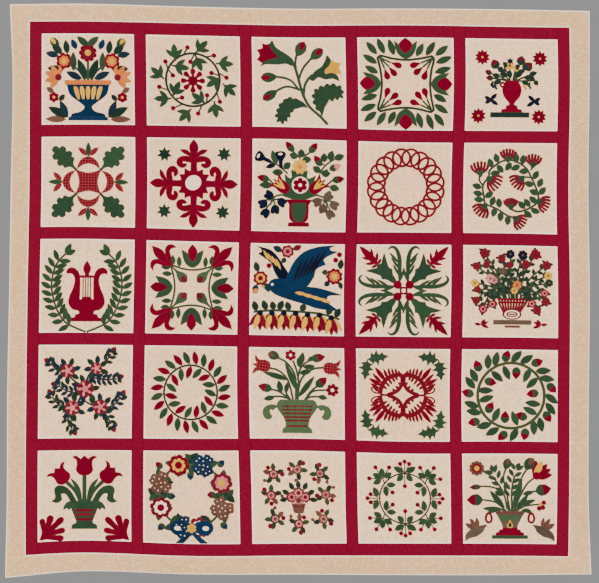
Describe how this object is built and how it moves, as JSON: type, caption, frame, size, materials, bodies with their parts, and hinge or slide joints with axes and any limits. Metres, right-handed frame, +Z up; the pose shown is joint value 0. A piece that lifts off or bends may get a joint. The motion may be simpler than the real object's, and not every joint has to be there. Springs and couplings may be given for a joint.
{
  "type": "album quilt",
  "caption": "Album quilt lying flat: appliqued blocks set square in sashing, with a plain quilted border and turned edges.",
  "frame": {"origin": "on the surface under the quilt, at the middle of its footprint", "axes": "+X to the quilt's right edge, +Y to its top edge, +Z up out of its face"},
  "size_m": [2.578, 2.5244, 0.0052],
  "materials": {
    "block": "aged plain cotton, quilted",
    "border": "aged plain cotton, quilted",
    "sash": "deep red cotton, quilted",
    "patch_red": "red cotton, matt",
    "patch_green": "green cotton, matt",
    "patch_blue": "blue cotton, matt",
    "patch_rose": "small printed cotton, matt"
  },
  "bodies": {
    "root": {"border_top": "border", "border_bottom": "border", "border_left": "border", "border_right": "border", "sashing": "sash", "block_r1c1": "block", "block_r1c2": "block", "block_r1c3": "block", "block_r1c4": "block", "block_r1c5": "block", "block_r2c1": "block", "block_r2c2": "block", "block_r2c3": "block", "block_r2c4": "block", "block_r2c5": "block", "block_r3c1": "block", "block_r3c2": "block", "block_r3c3": "block", "block_r3c4": "block", "block_r3c5": "block", "block_r4c1": "block", "block_r4c2": "block", "block_r4c3": "block", "block_r4c4": "block", "block_r4c5": "block", "block_r5c1": "block", "block_r5c2": "block", "block_r5c3": "block", "block_r5c4": "block", "block_r5c5": "block", "compote_r1c1": "patch_blue", "ivy_wreath_r1c2": "patch_green", "trumpet_spray_r1c3": "patch_green", "tulip_square_r1c4": "patch_green", "red_urn_r1c5": "patch_red", "oak_leaf_reel_r2c1": "patch_green", "fleur_cross_r2c2": "patch_red", "bellflower_pot_r2c3": "patch_green", "ring_chain_r2c4": "patch_red", "thistle_wreath_r2c5": "patch_green", "lyre_r3c1": "patch_red", "lily_square_r3c2": "patch_green", "swallow_r3c3": "patch_blue", "fern_cross_r3c4": "patch_green", "basket_r3c5": "patch_red", "rose_branch_r4c1": "patch_green", "leaf_wreath_r4c2": "patch_green", "handled_pot_r4c3": "patch_green", "feather_medallion_r4c4": "patch_red", "bud_wreath_r4c5": "patch_green", "tulip_pot_r5c1": "patch_green", "ribbon_wreath_r5c2": "patch_blue", "posy_r5c3": "patch_rose", "cherry_wreath_r5c4": "patch_green", "green_urn_r5c5": "patch_green"}
  },
  "joints": []
}
